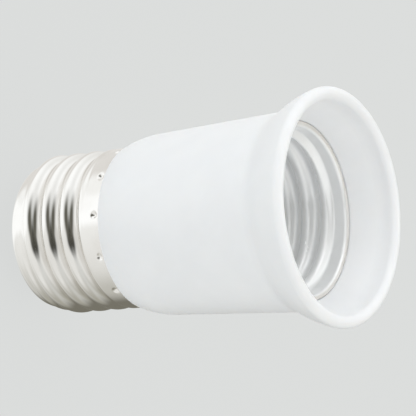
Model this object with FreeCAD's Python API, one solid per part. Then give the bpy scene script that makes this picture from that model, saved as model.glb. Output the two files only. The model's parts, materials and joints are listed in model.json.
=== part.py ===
"""Screw-lamp socket extender: a flared white housing with a threaded socket in
its mouth and a threaded cap crimped on its neck.

Millimetres, +Z up and out of the socket's mouth. The origin is on the axis, at
the plane where the cap's rim meets the housing's shoulder.
"""
import FreeCAD, Part
import math
import os
from FreeCAD import Vector

os.makedirs("parts", exist_ok=True)

# Round thread, shared by the cap and the socket: equal arcs, tangent on the flank
thread_pitch = 3.629
thread_flank_angle = 62.27
thread_columns = 40
segments_per_arc = 4
shortest_step_share = 0.125
thread_fade = 1.0
skin_step_inside = 0.06
skin_step_outside = 0.02
sewing_gap = 1e-5
same_place = 1e-6

# Housing
housing_length = 37.4
flare_rise = 3.15
flare_depth = 8.8
flare_fillet_radius = 4.0
flare_angle = 33.0
lip_thickness = 2.1
barrel_wall = 2.0
barrel_taper_angle = 2.9
shoulder_length = 5.2
shoulder_overhang = 0.41
funnel_depth = 7.0
funnel_angle = 28.0
funnel_bend_radius = 5.0
floor_top_height = 6.9
floor_thickness = 2.5
bore_taper_length = 1.2
rim_recess_depth = 0.9
neck_wall = 0.9
neck_length = 6.5
neck_lead_taper = 0.5
wire_notch_width = 1.4
wire_notch_drop = 0.3
floor_corner_radius = 0.4

# Socket shell, pressed from sheet
socket_sheet = 0.3
socket_major_diameter = 26.7
socket_entry_step = 0.1
socket_entry_length = 1.4
socket_rim_radius = 0.6
socket_rim_drop = 0.2
socket_cup_depth = 5.3
socket_bend_radius = 0.5
socket_crest_height = 20.4
socket_window_width = 11.0
socket_window_length = 17.0

# Cap shell, pressed from sheet
cap_sheet = 0.3
cap_major_diameter = 26.28
cap_collar_length = 3.0
cap_shell_length = 19.0
cap_plain_end_length = 2.0
cap_crest_height = -13.5
cap_end_radius = 1.8
cap_opening_diameter = 18.8

# Punch marks that lock the cap on the neck
punch_count = 12
punch_offset_angle = 18.0
punch_drop = 1.05
punch_radius = 0.6
punch_centre_outside = 0.15

# Insulator and tip contact
insulator_flange_thickness = 2.2
insulator_boss_length = 3.3
insulator_tip_rim = 0.5
tip_diameter = 9.4
tip_thickness = 0.6
tip_edge_radius = 0.25
tip_stem_diameter = 3.2
tip_stem_bore = 2.0
tip_stem_length = 3.6
tip_solder_diameter = 3.8
tip_solder_height = 0.6
tip_solder_plug = 1.4
wire_end_above_tip = 0.5

# Centre contact, a leaf bent from strip
leaf_thickness = 0.4
leaf_width = 4.0
leaf_foot_behind_rivet = 1.3
leaf_foot_before_rivet = 1.5
leaf_bend_radius = 1.0
leaf_arm_angle = 28.0
leaf_arm_length = 4.0
leaf_nose_radius = 1.8
leaf_nose_angle = 62.0

# Rivets, their holes and the solder tags under the floor
rivet_diameter = 1.8
rivet_head_diameter = 3.0
rivet_head_height = 0.8
rivet_tail_diameter = 2.8
rivet_tail_height = 0.5
contact_rivet_offset = 5.9
contact_rivet_head_diameter = 2.2
shell_rivet_offset = 8.6
tag_thickness = 0.4
tag_ring_diameter = 3.4
tag_width = 2.0
tag_arm_reach = 2.9
tag_bend_radius = 0.5
tag_leg_length = 2.2
tag_solder_length = 1.9
tag_solder_radius = 0.85

# Leads between the two ends
core_diameter = 0.8
insulation_diameter = 1.8
arc_share = 0.45
bare_wire_length = 2.6
neutral_cover_end = 8.4

# Clearances
rivet_to_hole = 0.05
lead_to_thread = 0.35
insulator_to_bend = 0.25
shell_to_bore = 0.3
rim_to_recess = 0.35
neck_to_collar = 0.05
dimple_to_neck = 0.05
insulator_to_opening = 0.1
stem_to_insulator = 0.05
core_to_insulation = 0.05
core_to_tag = 0.02
core_to_notch_end = 0.2

# Worked out from the sizes above
flank_sine = math.sin(math.radians(thread_flank_angle))
thread_arc_radius = thread_pitch / (4 * flank_sine)
thread_depth = 2 * thread_arc_radius * (1 - math.sqrt(1 - flank_sine**2))
cap_major = cap_major_diameter / 2
cap_minor = cap_major - thread_depth
cap_bottom = -cap_shell_length
cap_thread_bottom = cap_bottom + cap_plain_end_length
socket_major = socket_major_diameter / 2
socket_minor = socket_major - thread_depth
socket_entry = socket_major + socket_entry_step
socket_bore = socket_major + socket_sheet + shell_to_bore
barrel_radius = socket_bore + barrel_wall
funnel_bottom = housing_length - funnel_depth
socket_rim_height = funnel_bottom - socket_rim_drop
socket_entry_top = socket_rim_height - socket_rim_radius
socket_thread_top = socket_entry_top - socket_entry_length
floor_bottom = floor_top_height - floor_thickness
socket_thread_bottom = floor_top_height + socket_cup_depth
cup_top = floor_top_height + socket_sheet
insulator_tip = cap_bottom - insulator_boss_length
tip_bottom = insulator_tip - tip_thickness
tag_bottom = floor_bottom - tag_thickness
neck_lead = cap_minor - cap_sheet - lead_to_thread
chamber = neck_lead - neck_wall
rivet_hole_diameter = rivet_diameter + 2 * rivet_to_hole
core_from_rivet = tag_arm_reach + (tag_thickness + core_diameter) / 2 + core_to_tag
core_top = tag_bottom - tag_bend_radius
contact_rivet_x = -contact_rivet_offset
live_core_x = contact_rivet_x + core_from_rivet
neutral_core_y = shell_rivet_offset - core_from_rivet
notch_lane = cap_major - cap_sheet - core_diameter / 2 - core_to_tag

# Routes of the leads: points chosen by hand, rounded by the largest tangent arcs
live_route = [
    Vector(live_core_x, 0, core_top),
    Vector(live_core_x, 0, -3.2),
    Vector(live_core_x - 1.4, 0.5, -8.4),
    Vector(-1.0, 0.4, -13.2),
    Vector(0, 0, -17.8),
    Vector(0, 0, tip_bottom + wire_end_above_tip),
]
neutral_route = [
    Vector(0, neutral_core_y, core_top),
    Vector(0, neutral_core_y, -2.6),
    Vector(0, neutral_core_y + 1.6, -6.0),
    Vector(0, 9.9, -5.0),
    Vector(0, notch_lane, -2.2),
    Vector(0, notch_lane, -wire_notch_drop - core_to_notch_end),
]


def line(start, end):
    return Part.LineSegment(start, end).toShape()


def at(radius, height):
    """A point of a turned profile."""
    return Vector(radius, 0, height)


def arc(centre, radius, start_angle, end_angle):
    """An arc of a turned profile: centre is (radius, height), angles in degrees."""
    def point(angle):
        turn = math.radians(angle)
        return at(centre[0] + radius * math.cos(turn), centre[1] + radius * math.sin(turn))

    middle = (start_angle + end_angle) / 2
    return Part.Arc(point(start_angle), point(middle), point(end_angle)).toShape()


def turned(edges):
    """The profile closed by straight lines where its edges leave gaps, spun about Z."""
    chain = []
    for edge, following in zip(edges, edges[1:] + edges[:1]):
        chain.append(edge)
        end = edge.Vertexes[-1].Point
        start = following.Vertexes[0].Point
        if end.distanceToPoint(start) > same_place:
            chain.append(line(end, start))
    return Part.Face(Part.Wire(chain)).revolve(Vector(), Vector(0, 0, 1), 360)


def turned_polygon(points):
    corners = [at(*point) for point in points]
    return Part.Face(Part.makePolygon(corners + corners[:1])).revolve(Vector(), Vector(0, 0, 1), 360)


def cylinder(diameter, bottom, top, x=0, y=0):
    return Part.makeCylinder(diameter / 2, top - bottom, Vector(x, y, bottom))


def around(count, offset_angle):
    """Directions of a ring of features, as unit vectors."""
    for index in range(count):
        turn = math.radians(offset_angle + 360 * index / count)
        yield Vector(math.cos(turn), math.sin(turn), 0)


def thread_radius(rise, major, offset):
    """Radius of the thread at an axial distance from a crest, or of a skin offset from it."""
    from_crest = abs((rise + thread_pitch / 2) % thread_pitch - thread_pitch / 2)
    crest_arc = thread_arc_radius + offset
    if from_crest <= crest_arc * flank_sine:
        return major - thread_arc_radius + math.sqrt(crest_arc**2 - from_crest**2)
    root_arc = thread_arc_radius - offset
    from_root = thread_pitch / 2 - from_crest
    return major - thread_depth + thread_arc_radius - math.sqrt(root_arc**2 - from_root**2)


def crest_rises(offset):
    """Axial steps over one pitch from a crest, evenly spaced along the two arcs."""
    half_angle = math.asin(flank_sine)
    rises = []
    for index in range(segments_per_arc):
        angle = half_angle * (2 * index / segments_per_arc - 1)
        rises.append((thread_arc_radius + offset) * math.sin(angle))
        rises.append(thread_pitch / 2 + (thread_arc_radius - offset) * math.sin(angle))
    return sorted(rises)


def thread_column(turn, bottom, top, crest, offset, radius_at):
    """Points up the thread at one angle, in step with the helix."""
    advance = crest + thread_pitch * turn
    lowest = math.floor((bottom - advance) / thread_pitch) - 1
    highest = math.ceil((top - advance) / thread_pitch) + 1
    shortest = thread_pitch * shortest_step_share / segments_per_arc
    heights = [bottom]
    for number in range(lowest, highest + 1):
        for rise in crest_rises(offset):
            height = advance + number * thread_pitch + rise
            if bottom + shortest < height < top - shortest:
                heights.append(height)
    heights.append(top)
    angle = 2 * math.pi * turn
    points = []
    for height in heights:
        radius = radius_at(height, height - advance)
        points.append(Vector(radius * math.cos(angle), radius * math.sin(angle), height))
    return points


def zip_columns(left, right, lead):
    """Triangles between two columns, the right one further up the helix by lead."""
    facets = []
    low, high = 0, 0
    while low < len(left) - 1 or high < len(right) - 1:
        left_next = left[low + 1].z + lead if low < len(left) - 1 else math.inf
        right_next = right[high + 1].z if high < len(right) - 1 else math.inf
        if left_next <= right_next:
            facets.append((left[low], right[high], left[low + 1]))
            low += 1
        else:
            facets.append((left[low], right[high], right[high + 1]))
            high += 1
    return facets


def ease(share):
    share = min(max(share, 0), 1)
    return share * share * (3 - 2 * share)


def thread_skin(major, offset, bottom, top, crest, low_radius, high_radius):
    """One side of a rolled thread that fades to a circle at each end.

    Returns its faces and the closed outlines at its bottom and top.
    """
    def radius_at(height, rise):
        radius = thread_radius(rise, major, offset)
        radius = low_radius + (radius - low_radius) * ease((height - bottom) / thread_fade)
        return high_radius + (radius - high_radius) * ease((top - height) / thread_fade)

    columns = []
    for index in range(thread_columns):
        turn = index / thread_columns
        columns.append(thread_column(turn, bottom, top, crest, offset, radius_at))
    columns.append(columns[0])
    lead = thread_pitch / thread_columns
    facets = []
    for left, right in zip(columns, columns[1:]):
        facets += zip_columns(left, right, lead)
    faces = [Part.Face(Part.makePolygon([a, b, c, a])) for a, b, c in facets]
    outlines = [Part.makePolygon([column[end] for column in columns]) for end in (0, -1)]
    return faces, outlines


def circle(radius, height):
    return Part.Wire(Part.makeCircle(radius, Vector(0, 0, height)))


def without_flat_at(solid, height):
    """The solid's faces, less the flat one where the thread joins it."""
    kept = []
    for face in solid.Faces:
        flat = isinstance(face.Surface, Part.Plane)
        if not (flat and abs(face.CenterOfMass.z - height) < same_place):
            kept.append(face)
    return kept


def rolled_shell(above, below, major, offsets, crest, bottom, top, low_radius, high_radius):
    """A sheet shell: turned ends, joined by a rolled helical thread.

    above and below are the turned ends. offsets are those of the sheet's inner
    and outer side from the thread's standard outline, which the radii follow.
    """
    faces = without_flat_at(above, top) + without_flat_at(below, bottom)
    for offset, step in zip(offsets, (skin_step_inside, -skin_step_outside)):
        radii = (low_radius + offset, high_radius + offset)
        skin, outlines = thread_skin(major, offset, bottom, top, crest, radii[0] + step, radii[1] + step)
        faces += skin
        for outline, radius, height in zip(outlines, radii, (bottom, top)):
            rim = circle(radius, height)
            faces.append(Part.makeFace([rim, outline], "Part::FaceMakerBullseye"))
    skins = Part.makeCompound(faces)
    skins.sewShape(sewing_gap)
    solid = Part.makeSolid(skins.Shells[0])
    return solid if solid.Volume > 0 else solid.reversed()


def bent_strip(start, heading, steps, thickness, width):
    """A strip bent in the XZ plane, centred on Y.

    steps are ("run", length) or ("turn", radius, angle), with a positive angle
    turning the strip upward. Radii are those of the middle of the strip.
    """
    half = thickness / 2
    place = at(*start)
    sides = {half: [], -half: []}
    for step in steps:
        direction = Vector(math.cos(heading), 0, math.sin(heading))
        normal = Vector(-direction.z, 0, direction.x)
        if step[0] == "run":
            following = place + direction * step[1]
            for side, edges in sides.items():
                edges.append(line(place + normal * side, following + normal * side))
            place = following
            continue
        radius, angle = step[1], math.radians(step[2])
        sense = math.copysign(1, angle)
        centre = place + normal * (sense * radius)
        turned_normals = []
        for share in (0.5, 1):
            turn = heading + angle * share
            turned_normals.append(Vector(-math.sin(turn), 0, math.cos(turn)))
        for side, edges in sides.items():
            reach = side - sense * radius
            points = [centre + facing * reach for facing in [normal] + turned_normals]
            edges.append(Part.Arc(*points).toShape())
        place = centre - turned_normals[1] * (sense * radius)
        heading += angle
    near, far = sides[half], sides[-half]
    ends = [line(far[-1].Vertexes[-1].Point, near[-1].Vertexes[-1].Point)]
    ends.append(line(near[0].Vertexes[0].Point, far[0].Vertexes[0].Point))
    face = Part.Face(Part.Wire(Part.sortEdges(near + far + ends)[0]))
    face.translate(Vector(0, -width / 2, 0))
    return face.extrude(Vector(0, width, 0))


def rounded_path(name, points):
    """Straight runs joined by the largest tangent arcs that they allow."""
    edges = []
    start = points[0]
    radii = []
    for before, corner, after in zip(points, points[1:], points[2:]):
        arriving = (corner - before).normalize()
        leaving = (after - corner).normalize()
        half_turn = arriving.getAngle(leaving) / 2
        reach = arc_share * min((corner - before).Length, (after - corner).Length)
        radius = reach / math.tan(half_turn)
        inward = (leaving - arriving).normalize()
        middle = corner + inward * (radius / math.cos(half_turn) - radius)
        entry, exit_point = corner - arriving * reach, corner + leaving * reach
        edges.append(line(start, entry))
        edges.append(Part.Arc(entry, middle, exit_point).toShape())
        start = exit_point
        radii.append(round(radius, 2))
    edges.append(line(start, points[-1]))
    print(name, "bend radii", radii)
    return Part.Wire(edges)


def swept(path, diameter):
    start = path.OrderedEdges[0]
    direction = start.tangentAt(start.FirstParameter)
    profile = Part.Wire(Part.makeCircle(diameter / 2, start.valueAt(start.FirstParameter), direction))
    return path.makePipeShell([profile], True, False)


def box(x_range, y_range, z_range):
    size = [high - low for low, high in (x_range, y_range, z_range)]
    return Part.makeBox(*size, Vector(x_range[0], y_range[0], z_range[0]))


def housing_outline():
    """The housing's turned section, from the neck up the outside and down the inside."""
    taper = math.radians(barrel_taper_angle)
    up_barrel = at(math.sin(taper), math.cos(taper))
    out_of_barrel = at(math.cos(taper), -math.sin(taper))
    flare_start = at(barrel_radius, housing_length - flare_depth)
    lip_radius = lip_thickness / 2
    lip_centre = at(barrel_radius + flare_rise - lip_radius, housing_length - lip_radius)

    # A fillet turns out of the barrel, and the cup's arc runs on smoothly into the lip
    flare = math.radians(flare_angle)
    into_cup = at(-math.cos(flare), math.sin(flare))
    fillet_centre = flare_start + out_of_barrel * flare_fillet_radius
    cup_start = fillet_centre + into_cup * flare_fillet_radius
    span = cup_start - lip_centre
    cup_radius = (span.Length**2 - lip_radius**2) / (-2 * (span.dot(into_cup) + lip_radius))
    cup_centre = cup_start + into_cup * cup_radius
    to_lip = lip_centre - cup_centre
    outer_lip_angle = math.degrees(math.atan2(to_lip.z, to_lip.x))

    # Inside, a cone bends up into the lip
    cone = math.radians(funnel_angle)
    up_cone = at(math.sin(cone), math.cos(cone))
    into_funnel = at(-math.cos(cone), math.sin(cone))
    recess = socket_entry + socket_rim_radius + rim_to_recess
    span = at(recess, funnel_bottom) - lip_centre
    along = span.dot(up_cone)
    across = span.dot(into_funnel) + funnel_bend_radius
    cone_length = -along - math.sqrt((funnel_bend_radius + lip_radius)**2 - across**2)
    bend_centre = at(recess, funnel_bottom) + up_cone * cone_length + into_funnel * funnel_bend_radius
    to_bend = bend_centre - lip_centre
    inner_lip_angle = math.degrees(math.atan2(to_bend.z, to_bend.x)) % 360

    # The shoulder's arc is tangent to the barrel and ends at the neck's step
    shoulder_end = at(cap_major + shoulder_overhang, 0)
    shoulder_start = flare_start - up_barrel * ((flare_start.z - shoulder_length) / up_barrel.z)
    chord = shoulder_start - shoulder_end
    shoulder_radius = chord.Length**2 / (2 * chord.dot(out_of_barrel))
    shoulder_centre = shoulder_start - out_of_barrel * shoulder_radius
    to_end = shoulder_end - shoulder_centre
    end_angle = math.degrees(math.atan2(to_end.z, to_end.x))

    seat = cap_major - cap_sheet - neck_to_collar
    taper_top = -cap_collar_length + neck_lead_taper
    low_bore = socket_minor + socket_sheet + shell_to_bore
    corner = (low_bore - floor_corner_radius, floor_top_height + floor_corner_radius)
    return [
        line(at(chamber, -neck_length), at(neck_lead, -neck_length)),
        line(at(neck_lead, taper_top - neck_lead_taper), at(seat, taper_top)),
        line(at(seat, 0), shoulder_end),
        arc((shoulder_centre.x, shoulder_centre.z), shoulder_radius, end_angle, -barrel_taper_angle),
        arc((fillet_centre.x, fillet_centre.z), flare_fillet_radius, 180 - barrel_taper_angle,
            180 - flare_angle),
        arc((cup_centre.x, cup_centre.z), cup_radius, -flare_angle, outer_lip_angle),
        arc((lip_centre.x, lip_centre.z), lip_radius, outer_lip_angle, inner_lip_angle),
        arc((bend_centre.x, bend_centre.z), funnel_bend_radius, inner_lip_angle - 180, -funnel_angle),
        line(at(recess, funnel_bottom), at(recess, socket_rim_height - rim_recess_depth)),
        line(at(socket_bore, socket_rim_height - rim_recess_depth), at(socket_bore, socket_thread_bottom)),
        line(at(low_bore, socket_thread_bottom - bore_taper_length), at(low_bore, corner[1])),
        arc(corner, floor_corner_radius, 0, -90),
        line(at(0, floor_top_height), at(0, floor_bottom)),
        line(at(chamber, floor_bottom), at(chamber, -neck_length)),
    ]


def punch_centres():
    for direction in around(punch_count, punch_offset_angle):
        yield direction * (cap_major + punch_centre_outside) - Vector(0, 0, punch_drop)


def make_housing():
    housing = turned(housing_outline())
    half_notch = wire_notch_width / 2
    cuts = [
        cylinder(rivet_hole_diameter, floor_bottom, floor_top_height, contact_rivet_x, 0),
        cylinder(rivet_hole_diameter, floor_bottom, floor_top_height, 0, shell_rivet_offset),
        cylinder(rivet_hole_diameter, floor_bottom, floor_top_height, 0, -shell_rivet_offset),
        box((-half_notch, half_notch), (0, cap_major), (-neck_length, -wire_notch_drop)),
    ]
    hollow_radius = punch_radius + cap_sheet + dimple_to_neck
    cuts += [Part.makeSphere(hollow_radius, centre) for centre in punch_centres()]
    return housing.cut(cuts)


def make_socket_shell():
    rim_centre = (socket_entry + socket_rim_radius, socket_entry_top)
    entry_outside = socket_entry + socket_sheet
    rim = turned([
        line(at(socket_entry, socket_thread_top), at(socket_entry, socket_entry_top)),
        arc(rim_centre, socket_rim_radius, 180, 90),
        arc(rim_centre, socket_rim_radius - socket_sheet, 90, 180),
        line(at(entry_outside, socket_entry_top), at(entry_outside, socket_thread_top)),
    ])
    bend_centre = (socket_minor - socket_bend_radius, cup_top + socket_bend_radius)
    cup = turned([
        line(at(socket_minor + socket_sheet, socket_thread_bottom), at(socket_minor, socket_thread_bottom)),
        arc(bend_centre, socket_bend_radius, 0, -90),
        line(at(0, cup_top), at(0, floor_top_height)),
        arc(bend_centre, socket_bend_radius + socket_sheet, -90, 0),
    ])
    half_width = socket_window_width / 2
    reach = socket_window_length / 2
    window = cylinder(socket_window_length, floor_top_height, cup_top)
    window = window.common(box((-reach, reach), (-half_width, half_width), (floor_top_height, cup_top)))
    holes = [window]
    for side in (-1, 1):
        rivet_y = side * shell_rivet_offset
        holes.append(cylinder(rivet_hole_diameter, floor_top_height, cup_top, 0, rivet_y))
    return rolled_shell(
        rim, cup.cut(holes), socket_major, (0, socket_sheet), socket_crest_height,
        socket_thread_bottom, socket_thread_top, socket_minor, socket_entry,
    )


def make_cap_shell():
    inside = cap_major - cap_sheet
    collar = turned_polygon([
        (inside, -cap_collar_length), (cap_major, -cap_collar_length), (cap_major, 0), (inside, 0),
    ])
    middle_of_sheet = cylinder(2 * cap_major - cap_sheet, -cap_collar_length, 0)
    for centre in punch_centres():
        dimple = Part.makeSphere(punch_radius + cap_sheet, centre).common(middle_of_sheet)
        collar = collar.fuse(dimple).cut(Part.makeSphere(punch_radius, centre))
    end_centre = (cap_minor - cap_end_radius, cap_bottom + cap_end_radius)
    opening = cap_opening_diameter / 2
    end = turned([
        line(at(cap_minor - cap_sheet, cap_thread_bottom), at(cap_minor, cap_thread_bottom)),
        arc(end_centre, cap_end_radius, 0, -90),
        line(at(opening, cap_bottom), at(opening, cap_bottom + cap_sheet)),
        arc(end_centre, cap_end_radius - cap_sheet, -90, 0),
    ])
    return rolled_shell(
        collar, end, cap_major, (-cap_sheet, 0), cap_crest_height,
        cap_thread_bottom, -cap_collar_length, cap_minor, cap_major,
    )


def make_cap_insulator():
    flange_bottom = cap_bottom + cap_sheet
    hole = tip_stem_diameter / 2 + stem_to_insulator
    boss = cap_opening_diameter / 2 - insulator_to_opening
    flange = cap_minor - cap_end_radius - insulator_to_bend
    flange_top = flange_bottom + insulator_flange_thickness
    return turned_polygon([
        (hole, insulator_tip), (tip_diameter / 2 + insulator_tip_rim, insulator_tip), (boss, cap_bottom),
        (boss, flange_bottom), (flange, flange_bottom), (flange, flange_top), (hole, flange_top),
    ])


def make_tip_contact():
    bore, stem, edge = tip_stem_bore / 2, tip_stem_diameter / 2, tip_diameter / 2
    return turned([
        line(at(bore, insulator_tip + tip_stem_length), at(bore, tip_bottom)),
        arc((edge - tip_edge_radius, tip_bottom + tip_edge_radius), tip_edge_radius, -90, 0),
        line(at(edge, insulator_tip), at(stem, insulator_tip)),
        line(at(stem, insulator_tip + tip_stem_length), at(bore, insulator_tip + tip_stem_length)),
    ])


def dome(radius, height, base):
    """A low dome's outline, from its crown on the axis to its edge; height below zero hangs down."""
    ball = (radius**2 + height**2) / (2 * abs(height))
    sense = math.copysign(1, height)
    edge_angle = math.degrees(math.acos(radius / ball))
    return arc((0, base + height - sense * ball), ball, sense * 90, sense * edge_angle)


def make_tip_solder():
    bore = tip_stem_bore / 2
    plug_top = tip_bottom + tip_solder_plug
    solder = turned([
        dome(tip_solder_diameter / 2, -tip_solder_height, tip_bottom),
        line(at(bore, tip_bottom), at(bore, plug_top)),
        line(at(0, plug_top), at(0, tip_bottom - tip_solder_height)),
    ])
    return solder.cut(cylinder(core_diameter, tip_bottom + wire_end_above_tip, plug_top))


def make_contact_spring():
    foot_height = floor_top_height + leaf_thickness / 2
    leaf = bent_strip(
        (contact_rivet_x - leaf_foot_behind_rivet, foot_height), 0,
        [
            ("run", leaf_foot_behind_rivet + leaf_foot_before_rivet),
            ("turn", leaf_bend_radius, leaf_arm_angle),
            ("run", leaf_arm_length),
            ("turn", leaf_nose_radius, -leaf_nose_angle),
        ],
        leaf_thickness, leaf_width,
    )
    top = floor_top_height + leaf_thickness
    return leaf.cut(cylinder(rivet_hole_diameter, floor_top_height, top, contact_rivet_x, 0))


def make_rivet(head_seat, tail_seat, head_diameter):
    """A domed rivet on the Z axis, its tail set over below."""
    shank, tail = rivet_diameter / 2, rivet_tail_diameter / 2
    half_tail = rivet_tail_height / 2
    return turned([
        dome(head_diameter / 2, rivet_head_height, head_seat),
        line(at(shank, head_seat), at(shank, tail_seat)),
        line(at(tail, tail_seat), at(tail, tail_seat - half_tail)),
        line(at(tail - half_tail, tail_seat - rivet_tail_height), at(0, tail_seat - rivet_tail_height)),
        line(at(0, tail_seat - rivet_tail_height), at(0, head_seat + rivet_head_height)),
    ])


def make_solder_tag():
    """A tag on a rivet at the origin, with its leg hanging on the +X side."""
    arm = bent_strip(
        (0, floor_bottom - tag_thickness / 2), 0,
        [
            ("run", tag_arm_reach - tag_bend_radius),
            ("turn", tag_bend_radius, -90),
            ("run", tag_leg_length),
        ],
        tag_thickness, tag_width,
    )
    tag = cylinder(tag_ring_diameter, tag_bottom, floor_bottom).fuse(arm).removeSplitter()
    return tag.cut(cylinder(rivet_hole_diameter, tag_bottom, floor_bottom))


def make_tag_solder():
    """The joint between a tag's leg and the wire beside it, in the tag's own place."""
    core = core_diameter / 2
    leg_middle = tag_bottom + tag_thickness / 2 - tag_bend_radius - tag_leg_length / 2
    half = tag_solder_length / 2
    swell = tag_solder_radius
    top, bottom = at(core, leg_middle + half), at(core, leg_middle - half)
    joint = turned([Part.Arc(top, at(swell, leg_middle), bottom).toShape()])
    joint.translate(Vector(core_from_rivet, 0, 0))
    leg_face = tag_arm_reach + tag_thickness / 2
    behind = box((leg_face - swell, leg_face), (-swell, swell), (leg_middle - half, leg_middle + half))
    return joint.cut(behind)


def placed(shape, x=0, y=0, turn=0):
    shape = shape.copy()
    shape.rotate(Vector(), Vector(0, 0, 1), turn)
    shape.translate(Vector(x, y, 0))
    return shape


def make_insulation(path, keep):
    tube = swept(path, insulation_diameter)
    return tube.cut(swept(path, core_diameter + 2 * core_to_insulation)).common(keep)


def make_parts():
    live_path = rounded_path("live lead", live_route)
    neutral_path = rounded_path("neutral lead", neutral_route)
    insulator_top = cap_bottom + cap_sheet + insulator_flange_thickness
    bare_top = core_top - bare_wire_length
    live_cover = box((-chamber, chamber), (-chamber, chamber), (insulator_top, bare_top))
    neutral_cover = box((-chamber, chamber), (-chamber, neutral_cover_end), (insulator_top, bare_top))
    leaf_top = floor_top_height + leaf_thickness
    wired_rivet = make_rivet(cup_top, tag_bottom, rivet_head_diameter)
    plain_rivet = make_rivet(cup_top, floor_bottom, rivet_head_diameter)
    contact_rivet = make_rivet(leaf_top, tag_bottom, contact_rivet_head_diameter)
    tag, joint = make_solder_tag(), make_tag_solder()
    return {
        "housing": make_housing(),
        "socket_shell": make_socket_shell(),
        "contact_spring": make_contact_spring(),
        "contact_rivet": placed(contact_rivet, x=contact_rivet_x),
        "shell_rivet_wired": placed(wired_rivet, y=shell_rivet_offset),
        "shell_rivet_plain": placed(plain_rivet, y=-shell_rivet_offset),
        "live_solder_tag": placed(tag, x=contact_rivet_x),
        "neutral_solder_tag": placed(tag, y=shell_rivet_offset, turn=-90),
        "live_tag_solder": placed(joint, x=contact_rivet_x),
        "neutral_tag_solder": placed(joint, y=shell_rivet_offset, turn=-90),
        "live_wire_core": swept(live_path, core_diameter),
        "live_wire_insulation": make_insulation(live_path, live_cover),
        "neutral_wire_core": swept(neutral_path, core_diameter),
        "neutral_wire_insulation": make_insulation(neutral_path, neutral_cover),
        "cap_shell": make_cap_shell(),
        "cap_insulator": make_cap_insulator(),
        "tip_contact": make_tip_contact(),
        "tip_solder": make_tip_solder(),
    }


for name, shape in make_parts().items():
    solids = shape.Solids
    print(name, "solids", len(solids), "valid", shape.isValid(), "volume", round(shape.Volume, 2))
    shape.exportStep("parts/" + name + ".step")
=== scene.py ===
"""Looks of the screw-lamp socket extender: a white flared housing, a threaded
socket shell in its mouth and a threaded cap on its neck.

Metres, in the frame of the solids: +Z out of the socket's mouth, z = 0 where the
cap's rim meets the housing's shoulder.
"""

import json
import math

import bmesh
import bpy
from mathutils import Matrix, Vector


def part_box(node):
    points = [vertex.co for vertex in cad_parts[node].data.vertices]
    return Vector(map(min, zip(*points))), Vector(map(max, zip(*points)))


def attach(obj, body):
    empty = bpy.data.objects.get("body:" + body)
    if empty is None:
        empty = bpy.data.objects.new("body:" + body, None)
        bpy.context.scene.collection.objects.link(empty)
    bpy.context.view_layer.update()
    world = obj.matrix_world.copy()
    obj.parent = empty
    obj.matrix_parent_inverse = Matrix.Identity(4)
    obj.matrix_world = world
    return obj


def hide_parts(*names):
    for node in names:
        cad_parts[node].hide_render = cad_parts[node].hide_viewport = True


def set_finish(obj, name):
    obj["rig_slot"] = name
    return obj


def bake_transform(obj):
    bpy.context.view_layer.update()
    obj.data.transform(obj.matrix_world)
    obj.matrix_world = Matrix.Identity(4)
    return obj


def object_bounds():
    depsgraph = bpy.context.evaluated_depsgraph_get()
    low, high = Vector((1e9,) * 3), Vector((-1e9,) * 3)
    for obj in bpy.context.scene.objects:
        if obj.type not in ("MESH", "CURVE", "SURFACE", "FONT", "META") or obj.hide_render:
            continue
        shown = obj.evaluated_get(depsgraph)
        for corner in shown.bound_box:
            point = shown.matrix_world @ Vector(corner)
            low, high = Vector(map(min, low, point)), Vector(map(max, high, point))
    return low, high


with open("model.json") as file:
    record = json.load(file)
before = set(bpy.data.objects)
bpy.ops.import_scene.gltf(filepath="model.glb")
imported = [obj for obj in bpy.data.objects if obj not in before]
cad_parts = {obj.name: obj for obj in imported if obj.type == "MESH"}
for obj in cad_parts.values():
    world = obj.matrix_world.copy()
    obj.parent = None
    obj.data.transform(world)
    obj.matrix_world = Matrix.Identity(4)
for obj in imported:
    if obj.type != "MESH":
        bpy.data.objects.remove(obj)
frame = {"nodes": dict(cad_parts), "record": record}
cad_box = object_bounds()
nodes = frame["nodes"]
mounts = {mount["name"]: mount for mount in frame["record"]["mounts"]}

MM = 0.001
BODY = "extender"

# Camera: where the photo was taken from, as fitted to the mouth and the outline
image_width = 416
focal_pixels = 3075.89
sensor_width = 36.0
view_from_axis = math.radians(57.49)
roll = math.radians(5.85)
mouth_in_view = Vector((21.14, 0.19, -481.79)) * MM
clip_start = 0.01
clip_end = 50

# Thread, as pressed into both shells
thread_pitch = 3.629 * MM
flank_angle = math.radians(62.27)
arc_radius = thread_pitch / (4 * math.sin(flank_angle))
thread_depth = 2 * arc_radius * (1 - math.cos(flank_angle))
thread_fade = 1.0 * MM
sheet = 0.3 * MM

# Cap shell
cap_major = mounts["cap"]["dims"]["r_mm"] * MM
cap_minor = cap_major - thread_depth
cap_collar_length = mounts["cap"]["dims"]["length_mm"] * MM
cap_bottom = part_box("cap_shell")[0].z
cap_thread_bottom = cap_bottom + 2.0 * MM
cap_crest_height = -13.5 * MM
cap_end_radius = 1.8 * MM
cap_opening_radius = 9.4 * MM

# Punch marks round the collar
punch_count = 12
punch_offset_angle = math.radians(18)
punch_height = -1.05 * MM
punch_reach = 0.74 * MM
punch_depth = 0.45 * MM

# Socket shell
socket_entry = mounts["socket"]["dims"]["r_mm"] * MM
socket_entry_length = mounts["socket"]["dims"]["length_mm"] * MM
socket_major = socket_entry - 0.1 * MM
socket_minor = socket_major - thread_depth
socket_floor, socket_top = (corner.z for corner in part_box("socket_shell"))
socket_rim_radius = 0.6 * MM
socket_rim_reach = socket_entry + 0.85 * MM
socket_thread_bottom = socket_floor + 5.3 * MM
socket_crest_height = 20.4 * MM
socket_bend_radius = 0.5 * MM
window_reach = 8.5 * MM
window_half_width = 5.5 * MM
rivet_hole_radius = 0.95 * MM
shell_rivet_offset = 8.6 * MM

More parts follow.
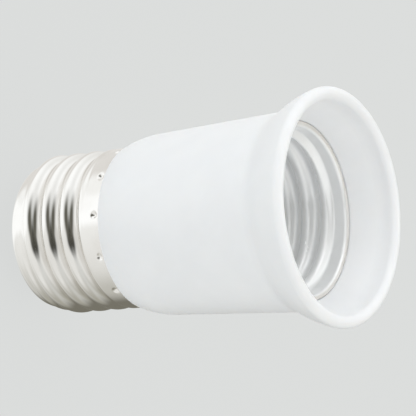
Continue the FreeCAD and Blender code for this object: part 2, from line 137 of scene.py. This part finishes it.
# The two threads, with the radius of the circle that each fades to at its ends
cap_thread = {
    "major": cap_major, "crest": cap_crest_height,
    "bottom": cap_thread_bottom, "top": -cap_collar_length,
    "low_radius": cap_minor, "high_radius": cap_major,
}
socket_thread = {
    "major": socket_major, "crest": socket_crest_height,
    "bottom": socket_thread_bottom, "top": socket_top - socket_rim_radius - socket_entry_length,
    "low_radius": socket_minor, "high_radius": socket_entry,
}

# How finely the shells are drawn: steps along a profile, parts of its arcs as (seen
# side, hidden side), and degrees from a punch mark of the columns nearest to it
seen_step = 0.1 * MM
hidden_step = 0.3 * MM
cap_end_parts = (10, 4)
socket_bend_parts = (6, 4)
socket_rim_parts = (8, 6)
hole_parts = 24
window_arc_parts = 16
column_offsets = [-13.5 + 1.5 * i for i in range(8)] + [-2.4 + 0.6 * i for i in range(9)]
column_offsets += [3.0 + 1.5 * i for i in range(9)]
sharp_angle = math.radians(40)


def thread_radius(rise, major, offset):
    """Radius at an axial distance from a crest, on a skin offset from the thread."""
    from_crest = abs((rise + thread_pitch / 2) % thread_pitch - thread_pitch / 2)
    crest_arc = arc_radius + offset
    if from_crest <= crest_arc * math.sin(flank_angle):
        return major - arc_radius + math.sqrt(crest_arc**2 - from_crest**2)
    root_arc = arc_radius - offset
    from_root = thread_pitch / 2 - from_crest
    return major - thread_depth + arc_radius - math.sqrt(root_arc**2 - from_root**2)


def ease(share):
    """A smooth step from 0 to 1."""
    share = min(max(share, 0), 1)
    return share * share * (3 - 2 * share)


def steps(start, end, size):
    """Values from start to end, both included, about size apart."""
    count = max(1, round(abs(end - start) / size))
    return [start + (end - start) * i / count for i in range(count + 1)]


def round_point(radius, angle):
    return radius * math.cos(angle), radius * math.sin(angle)


# A row gives (radius, height) for an angle round the axis


def turned_row(radius, height):
    return lambda angle: (radius, height)


def arc_rows(centre_radius, centre_height, radius, start, end, count):
    """Turned rows along an arc of the profile, from start to end in degrees."""
    rows = []
    for i in range(count + 1):
        outward, upward = round_point(radius, math.radians(start + (end - start) * i / count))
        rows.append(turned_row(centre_radius + outward, centre_height + upward))
    return rows


def thread_rows(offset, size, major, crest, bottom, top, low_radius, high_radius):
    """Rows up a skin of a rolled thread, which fades to a circle at each end."""
    low_radius, high_radius = low_radius + offset, high_radius + offset

    def row(height):
        low_share = ease((height - bottom) / thread_fade)
        high_share = ease((top - height) / thread_fade)

        def at(angle):
            rise = height - crest - thread_pitch * angle / (2 * math.pi)
            radius = thread_radius(rise, major, offset)
            radius = low_radius + (radius - low_radius) * low_share
            return high_radius + (radius - high_radius) * high_share, height

        return at

    return [row(height) for height in steps(bottom, top, size)]


def punched_rows(radius, bottom, top, size):
    """Rows of the collar, pressed in at each punch mark."""
    def row(height):
        def at(angle):
            sector = 2 * math.pi / punch_count
            from_mark = (angle - punch_offset_angle + sector / 2) % sector - sector / 2
            reach = math.hypot(radius * from_mark, height - punch_height) / punch_reach
            return radius - punch_depth * max(0, 1 - reach**2) ** 2, height

        return at

    return [row(height) for height in steps(bottom, top, size)]


def column_angles():
    """Angles round the axis, closer together at the punch marks."""
    angles = []
    for mark in range(punch_count):
        start = punch_offset_angle + 2 * math.pi * mark / punch_count
        angles += [start + math.radians(offset) for offset in column_offsets]
    return angles


def ring_mesh(rows, angles, closed):
    """A bmesh of rings joined by quads, one ring for each row."""
    mesh = bmesh.new()
    rings = []
    for row in rows:
        ring = []
        for angle in angles:
            radius, height = row(angle)
            ring.append(mesh.verts.new((*round_point(radius, angle), height)))
        rings.append(ring)
    pairs = list(zip(rings, rings[1:] + rings[:1] if closed else rings[1:]))
    for low, high in pairs:
        for i in range(len(angles)):
            j = (i + 1) % len(angles)
            mesh.faces.new((low[i], low[j], high[j], high[i]))
    return mesh, rings


def add_object(name, data):
    """Puts a new object with this data in the scene."""
    thing = bpy.data.objects.new(name, data)
    bpy.context.scene.collection.objects.link(thing)
    return thing


def mesh_data(name, mesh):
    """The data of a bmesh, which is used up."""
    data = bpy.data.meshes.new(name)
    mesh.to_mesh(data)
    mesh.free()
    return data


def add_piece(name, mesh, body, slot, replaced):
    """Turns a bmesh into a smooth piece that stands for a node."""
    bmesh.ops.recalc_face_normals(mesh, faces=mesh.faces)
    data = mesh_data(name, mesh)
    data.polygons.foreach_set("use_smooth", [True] * len(data.polygons))
    piece = add_object(name, data)
    piece.data.set_sharp_from_angle(angle=sharp_angle)
    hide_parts(replaced)
    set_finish(piece, slot)
    if body:
        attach(piece, body)
    return piece


def make_cap_shell():
    end = (cap_minor - cap_end_radius, cap_bottom + cap_end_radius)
    rows = [turned_row(cap_opening_radius, cap_bottom)]
    rows += arc_rows(*end, cap_end_radius, -90, 0, cap_end_parts[0])
    rows += thread_rows(0, seen_step, **cap_thread)
    rows += punched_rows(cap_major, -cap_collar_length, 0, seen_step)[1:]
    rows += punched_rows(cap_major - sheet, 0, -cap_collar_length, hidden_step)
    rows += thread_rows(-sheet, hidden_step, **cap_thread)[-2::-1]
    rows += arc_rows(*end, cap_end_radius - sheet, 0, -90, cap_end_parts[1])
    rows += [turned_row(cap_opening_radius, cap_bottom + sheet)]
    mesh, _ = ring_mesh(rows, column_angles(), True)
    return add_piece("cap_shell_rolled", mesh, BODY, "cap_sheet", "cap_shell")


def window_outline():
    """Points round the window in the cup's floor: two arcs with straight sides."""
    corner = math.asin(window_half_width / window_reach)
    points = []
    for side in (0, math.pi):
        for i in range(window_arc_parts + 1):
            angle = side + corner * (i / (window_arc_parts / 2) - 1)
            points.append(round_point(window_reach, angle))
    return points


def hole_outline(centre_y):
    """Points round a rivet's hole in the cup's floor."""
    points = []
    for i in range(hole_parts):
        x, y = round_point(rivet_hole_radius, 2 * math.pi * i / hole_parts)
        points.append((x, centre_y + y))
    return points


def fill_cup_floor(mesh, top_ring, bottom_ring):
    """Closes the cup with a floor that has the window and the rivets' holes."""
    holes = [hole_outline(centre_y) for centre_y in (shell_rivet_offset, -shell_rivet_offset)]
    outlines = [window_outline(), *holes]
    walls = []
    for ring, height in ((top_ring, socket_floor + sheet), (bottom_ring, socket_floor)):
        loops = [ring]
        for outline in outlines:
            loops.append([mesh.verts.new((x, y, height)) for x, y in outline])
        walls.append(loops[1:])
        edges = []
        for loop in loops:
            for a, b in zip(loop, loop[1:] + loop[:1]):
                edges.append(mesh.edges.get((a, b)) or mesh.edges.new((a, b)))
        bmesh.ops.triangle_fill(mesh, use_beauty=True, use_dissolve=False, edges=edges)
    for above, below in zip(*walls):
        for i in range(len(above)):
            j = (i + 1) % len(above)
            mesh.faces.new((above[i], above[j], below[j], below[i]))


def make_socket_shell():
    rim = (socket_entry + socket_rim_radius, socket_top - socket_rim_radius)
    bend = (socket_minor - socket_bend_radius, socket_floor + sheet + socket_bend_radius)
    rows = arc_rows(*bend, socket_bend_radius, -90, 0, socket_bend_parts[0])
    rows += thread_rows(0, seen_step, **socket_thread)
    rows += arc_rows(*rim, socket_rim_radius, 180, 90, socket_rim_parts[0])
    for height in (socket_top, socket_top - sheet):
        rows.append(turned_row(socket_rim_reach, height))
    rows += arc_rows(*rim, socket_rim_radius - sheet, 90, 180, socket_rim_parts[1])
    rows += thread_rows(sheet, hidden_step, **socket_thread)[::-1]
    rows += arc_rows(*bend, socket_bend_radius + sheet, 0, -90, socket_bend_parts[1])
    mesh, rings = ring_mesh(rows, column_angles(), False)
    fill_cup_floor(mesh, rings[0], rings[-1])
    return add_piece("socket_shell_rolled", mesh, BODY, "plated_sheet", "socket_shell")


def make_leaf():
    """The centre contact, bending from its riveted foot to its free arm."""
    mesh = bmesh.new()
    mesh.from_mesh(nodes["contact_spring"].data)
    piece = add_piece("centre_contact_leaf", mesh, None, "contact_brass", "contact_spring")
    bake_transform(piece)
    return piece


def make_camera():
    sine, cosine = math.sin(view_from_axis), math.cos(view_from_axis)
    right = Vector((math.sin(roll), cosine * math.cos(roll), sine * math.cos(roll)))
    up = Vector((-math.cos(roll), cosine * math.sin(roll), sine * math.sin(roll)))
    back = Vector((0, -sine, cosine))
    turn = Matrix((right, up, back)).transposed()
    camera = add_object("camera", bpy.data.cameras.new("camera"))
    place = Vector((0, 0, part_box("housing")[1].z)) - turn @ mouth_in_view
    camera.matrix_world = Matrix.Translation(place) @ turn.to_4x4()
    camera.data.sensor_width = sensor_width
    camera.data.lens = focal_pixels * sensor_width / image_width
    camera.data.clip_start = clip_start
    camera.data.clip_end = clip_end
    bpy.context.scene.camera = camera


class Nodes:
    """Adds shader nodes to a tree, with plain values or links as their inputs."""

    def __init__(self, owner):
        self.tree = owner.node_tree

    def put(self, socket, value):
        if isinstance(value, bpy.types.NodeSocket):
            self.tree.links.new(value, socket)
        elif socket.type == "RGBA":
            socket.default_value = (*value, 1)
        else:
            socket.default_value = value

    def add(self, kind, values=(), **settings):
        """A node with its first inputs set in order, None leaving one as it is."""
        node = self.tree.nodes.new(kind)
        for name, value in settings.items():
            setattr(node, name, value)
        for socket, value in zip(node.inputs, values):
            if value is not None:
                self.put(socket, value)
        return node

    def math(self, operation, *values):
        return self.add("ShaderNodeMath", values, operation=operation).outputs[0]

    def vector(self, operation, *values):
        node = self.add("ShaderNodeVectorMath", values, operation=operation)
        return node.outputs["Value" if operation in ("DOT_PRODUCT", "LENGTH") else "Vector"]

    def scaled(self, vector, amount):
        node = self.add("ShaderNodeVectorMath", (vector,), operation="SCALE")
        self.put(node.inputs["Scale"], amount)
        return node.outputs["Vector"]

    def ramp(self, value, low, high, start=0.0, end=1.0):
        """A smooth step: start below low, end above high."""
        values = (value, low, high, start, end)
        node = self.add("ShaderNodeMapRange", values, interpolation_type="SMOOTHSTEP")
        return node.outputs[0]

    def mix(self, share, a, b):
        node = self.add("ShaderNodeMix", data_type="RGBA")
        for index, value in ((0, share), (6, a), (7, b)):
            self.put(node.inputs[index], value)
        return node.outputs[2]

    def noise(self, vector, scale, detail=2.0, roughness=0.5):
        values = {"Vector": vector, "Scale": scale, "Detail": detail, "Roughness": roughness}
        node = self.add("ShaderNodeTexNoise")
        for name, value in values.items():
            self.put(node.inputs[name], value)
        return node.outputs[0]

    def place(self):
        return self.add("ShaderNodeTexCoord").outputs["Object"]


# Noise in every material: its scale per metre, detail and roughness, and the span of
# its values that matters. Patches vary colour and gloss, and the grain has no scale
# here because each material has its own.
patch_noise = (160.0, 3.0, 0.55)
grain_noise = (1.0, 3.0, 0.6)
turned_line_scale = 3.0
noise_span = (0.3, 0.7)

# A darkening is at full strength in some patches and at this share of it in the others
thin_darkening = 0.5
darkening_span = (0.2, 0.8)

# Darkenings as (limits, colour, strength), with limits as (kind, none at, all at)
cap_groove = ("radius", cap_minor + 0.2 * MM, cap_minor)
cap_above_end = ("height", cap_thread_bottom + 0.5 * MM, cap_thread_bottom + 2 * MM)
# Painted shade: the cap's thread roots darkened above its end, standing in for shade between
# the turns
groove_painted_shade = ((cap_groove, cap_above_end), (0.36, 0.32, 0.26), 0.38)
socket_edge = ("height", socket_top - 0.2 * MM, socket_top)
# The socket shell browner towards the top edge of its rim
rim_brown_band = ((socket_edge,), (0.5, 0.43, 0.33), 0.5)

# The light that the plastic lets in under its skin
plastic_depth = {
    "Subsurface Weight": 0.2, "Subsurface Radius": (1.0, 0.9, 0.8), "Subsurface Scale": 0.0012,
    "IOR": 1.5,
}

# Materials by the record's slots, as make_surface takes them
looks = {
    "white_plastic": {
        "colours": ((0.9, 0.915, 0.94), (0.88, 0.895, 0.92)), "roughness": (0.3, 0.42),
        "grain": ("even", 7000.0), "bump": 2e-6, "values": plastic_depth,
    },
    "plated_sheet": {
        "colours": ((0.95, 0.96, 0.967), (0.92, 0.93, 0.94)), "roughness": (0.16, 0.28),
        "grain": ("turned", 5000.0), "bump": 3e-6, "metallic": 0.32, "darkening": rim_brown_band,
    },
    "cap_sheet": {
        "colours": ((0.89, 0.88, 0.86), (0.85, 0.835, 0.81)), "roughness": (0.03, 0.08),
        "grain": ("turned", 4000.0), "bump": 1.5e-6, "metallic": 1.0, "darkening": groove_painted_shade,
    },
    "contact_brass": {
        "colours": ((0.84, 0.67, 0.36), (0.74, 0.56, 0.28)), "roughness": (0.25, 0.4),
        "grain": ("even", 4000.0), "bump": 4e-6, "metallic": 1.0,
    },
    "tip_metal": {
        "colours": ((0.8, 0.79, 0.77), (0.7, 0.69, 0.67)), "roughness": (0.22, 0.36),
        "grain": ("turned", 5000.0), "bump": 3e-6, "metallic": 1.0,
    },
    "solder": {
        "colours": ((0.72, 0.72, 0.73), (0.58, 0.58, 0.59)), "roughness": (0.3, 0.5),
        "grain": ("even", 2500.0), "bump": 2e-5, "metallic": 1.0,
    },
    "tinned_wire": {
        "colours": ((0.78, 0.78, 0.77), (0.7, 0.69, 0.67)), "roughness": (0.28, 0.42),
        "grain": ("even", 5000.0), "bump": 3e-6, "metallic": 1.0,
    },
    "wire_sleeve": {
        "colours": ((0.84, 0.84, 0.81), (0.78, 0.77, 0.74)), "roughness": (0.45, 0.6),
        "grain": ("even", 4000.0), "bump": 1e-5,
    },
    "dark_insulator": {
        "colours": ((0.025, 0.025, 0.03), (0.045, 0.043, 0.045)), "roughness": (0.12, 0.3),
        "grain": ("even", 3000.0), "bump": 5e-6,
    },
}


def make_surface(name, colours, roughness, grain, bump, metallic=0.0, darkening=None, values=None):
    """A material with mottled colour, uneven gloss and a fine grain.

    grain is (kind, scale per metre): "even", or "turned" for lines round the axis.
    values are further constants for the shader's sockets, by name.
    """
    material = bpy.data.materials.new(name)
    material.use_nodes = True
    tree = Nodes(material)
    place = tree.place()
    x, y, z = tree.add("ShaderNodeSeparateXYZ", (place,)).outputs
    around = tree.add("ShaderNodeCombineXYZ", (x, y)).outputs[0]
    kind, scale = grain
    fine = tree.scaled(place, scale)
    if kind == "turned":
        height = tree.math("MULTIPLY", z, scale)
        lines = tree.add("ShaderNodeCombineXYZ", (None, None, height)).outputs[0]
        turned = tree.scaled(tree.vector("NORMALIZE", around), turned_line_scale)
        fine = tree.vector("ADD", turned, lines)
    fine = tree.noise(fine, *grain_noise)
    patches = tree.noise(place, *patch_noise)
    colour = tree.mix(tree.ramp(patches, *noise_span), *colours)
    # Where a darkening's limits allow, the colour goes towards its colour: painted shade in the
    # cap's thread roots, a browner band at the socket shell's rim
    if darkening:
        limits, darkening_colour, strength = darkening
        share = tree.ramp(patches, *darkening_span, thin_darkening * strength, strength)
        measures = {"radius": tree.vector("LENGTH", around), "height": z}
        for measure, none_at, all_at in limits:
            limit = tree.ramp(measures[measure], none_at, all_at)
            share = tree.math("MULTIPLY", share, limit)
        colour = tree.mix(share, colour, darkening_colour)
    halves = [tree.math("MULTIPLY", noise, 0.5) for noise in (patches, fine)]
    uneven = tree.math("ADD", *halves)
    shader = material.node_tree.nodes["Principled BSDF"]
    tree.put(shader.inputs["Base Color"], colour)
    tree.put(shader.inputs["Roughness"], tree.ramp(uneven, *noise_span, *roughness))
    relief = tree.add("ShaderNodeBump")
    tree.put(relief.inputs["Height"], fine)
    tree.put(relief.inputs["Distance"], bump)
    tree.put(shader.inputs["Normal"], relief.outputs[0])
    shader.inputs["Metallic"].default_value = metallic
    for socket, value in (values or {}).items():
        shader.inputs[socket].default_value = value
    return material


def dress(new_pieces):
    """Gives every node and piece the material of its slot."""
    surfaces = {slot: make_surface(slot, **look) for slot, look in looks.items()}
    subparts = frame["record"]["subparts"]
    slots = {piece: piece["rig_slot"] for piece in new_pieces}
    slots.update({nodes[part["node"]]: part["material_slot"] for part in subparts})
    for piece, slot in slots.items():
        if not piece.material_slots:
            piece.data.materials.append(None)
        for material_slot in piece.material_slots:
            material_slot.material = surfaces[slot]


# Studio: the light from each side, and over it soft areas as (toward, across, half
# widths in degrees, share of them at full strength, colour)
studio_sides = [
    ((1, 0, 0), (0.385, 0.375, 0.319)),
    ((-1, 0, 0), (1.12, 1.135, 1.14)),
    ((0, 1, 0), (0.815, 0.817, 0.802)),
    ((0, -1, 0), (1.02, 1.03, 1.02)),
    ((0, 0, 1), (0.81, 0.821, 0.811)),
    ((0, 0, -1), (0.86, 0.865, 0.845)),
]
studio_areas = [
    ((0.559, -0.829, 0.008), (-0.697, -0.465, 0.546), (85.9, 84.7), 0.41, (0.86, 0.86, 0.84)),
    ((-0.363, -0.395, -0.844), (-0.904, 0.368, 0.216), (24.5, 85.9), 0.59, (1.12, 1.135, 1.14)),
    ((0.524, 0.852, 0.001), (0.116, -0.071, -0.991), (85.9, 47.4), 0.63, (0.201, 0.193, 0.16)),
    ((0.0, -0.382, 0.924), (0.977, 0.195, 0.08), (20.6, 85.9), 0.27, (0.02, 0.02, 0.02)),
    ((-0.37, -0.673, 0.641), (-0.82, 0.561, 0.115), (42.6, 85.9), 0.25, (0.13, 0.127, 0.105)),
    ((-0.62, 0.5, -0.6), (0.5, 0.62, 0), (42, 30), 0.6, (0.8, 0.785, 0.76)),
]


def area_mask(tree, direction, toward, across, widths, full):
    """The share of a soft oval area in each direction."""
    centre = Vector(toward).normalized()
    side = (Vector(across) - Vector(across).dot(centre) * centre).normalized()
    reach = [math.sin(math.radians(width)) for width in widths]
    u = tree.vector("DOT_PRODUCT", direction, side / reach[0])
    v = tree.vector("DOT_PRODUCT", direction, centre.cross(side) / reach[1])
    offset = tree.add("ShaderNodeCombineXYZ", (u, v)).outputs[0]
    mask = tree.ramp(tree.vector("LENGTH", offset), full, 1, 1, 0)
    facing = tree.vector("DOT_PRODUCT", direction, centre)
    return tree.math("MULTIPLY", mask, tree.math("GREATER_THAN", facing, 0))


def make_world():
    world = bpy.data.worlds.new("studio")
    bpy.context.scene.world = world
    world.use_nodes = True
    tree = Nodes(world)
    direction = tree.add("ShaderNodeTexCoord").outputs["Generated"]
    colour = (0, 0, 0)
    for side, side_colour in studio_sides:
        facing = tree.math("MAXIMUM", tree.vector("DOT_PRODUCT", direction, side), 0)
        share = tree.math("MULTIPLY", facing, facing)
        colour = tree.vector("ADD", tree.scaled(side_colour, share), colour)
    for *area, area_colour in studio_areas:
        colour = tree.mix(area_mask(tree, direction, *area), colour, area_colour)
    tree.put(world.node_tree.nodes["Background"].inputs["Color"], colour)


# Floor: partly glowing, so that the object's shadow on it stays faint, with a glowing
# backdrop round it that only the camera sees. Both vary very slightly in tone.
floor_colour = (0.716, 0.73, 0.723)
floor_second_tone = 0.995
floor_patch_scale = 4.0
floor_glow = 0.92
floor_reach = 3.0
backdrop_glow = 1.0
backdrop_radius = 2.8
backdrop_segments = (64, 32)


def make_stage(name, mesh, glow_share):
    """A stage object of the floor's colour that glows by this share."""
    stage = add_object(name, mesh_data(name, mesh))
    stage.visible_glossy = False
    material = bpy.data.materials.new(name)
    material.use_nodes = True
    tree = Nodes(material)
    shade = tree.ramp(tree.noise(tree.place(), floor_patch_scale), *noise_span)
    second_colour = [floor_second_tone * part for part in floor_colour]
    colour = tree.mix(shade, floor_colour, second_colour)
    shader = material.node_tree.nodes["Principled BSDF"]
    tree.put(shader.inputs["Base Color"], colour)
    shader.inputs["Roughness"].default_value = 1.0
    shader.inputs["Specular IOR Level"].default_value = 0.0
    glow = tree.add("ShaderNodeEmission", (colour,))
    shaders = (shader.outputs[0], glow.outputs[0])
    blend = tree.add("ShaderNodeMixShader", (glow_share, *shaders))
    tree.put(material.node_tree.nodes["Material Output"].inputs["Surface"], blend.outputs[0])
    stage.data.materials.append(material)
    return stage


def make_floor():
    mesh = bmesh.new()
    bmesh.ops.create_grid(mesh, x_segments=1, y_segments=1, size=floor_reach)
    floor = make_stage("floor", mesh, floor_glow)
    floor.location.z = cad_box[0].z


def make_backdrop():
    mesh = bmesh.new()
    u_segments, v_segments = backdrop_segments
    bmesh.ops.create_uvsphere(
        mesh, u_segments=u_segments, v_segments=v_segments, radius=backdrop_radius,
    )
    backdrop = make_stage("backdrop", mesh, backdrop_glow)
    backdrop.visible_diffuse = False
    backdrop.visible_transmission = False
    backdrop.visible_shadow = False


# Wide lamps as (toward, strength, colour). They light all but the cap, which shows the
# studio's areas alone.
lamp_angle = math.radians(100)
lamps = {
    "front": ((0, -1, 0.1), 0.67, (0.99, 0.995, 0.99)),
    "top": ((-0.8, -0.6, 0.1), 0.58, (0.98, 0.99, 1.0)),
    "mouth": ((-0.7, -0.2, 0.7), 0.57, (1.0, 0.99, 0.97)),
    "back": ((0.6, 0.5, 0.65), 0.97, (1.0, 0.99, 0.97)),
}


def make_lamps(unlit_piece):
    unlit = bpy.data.collections.new("unlit_by_lamps")
    unlit.objects.link(unlit_piece)
    unlit.collection_objects[0].light_linking.link_state = "EXCLUDE"
    for name, (toward, strength, colour) in lamps.items():
        lamp = bpy.data.lights.new(name, "SUN")
        lamp.angle = lamp_angle
        lamp.energy = strength
        lamp.color = colour
        holder = add_object(name, lamp)
        holder.rotation_euler = Vector(toward).to_track_quat("Z", "Y").to_euler()
        holder.light_linking.receiver_collection = unlit


make_camera()
cap_piece = make_cap_shell()
dress((cap_piece, make_socket_shell(), make_leaf()))
make_world()
make_floor()
make_backdrop()
make_lamps(cap_piece)
bpy.context.scene.view_settings.view_transform = "Standard"
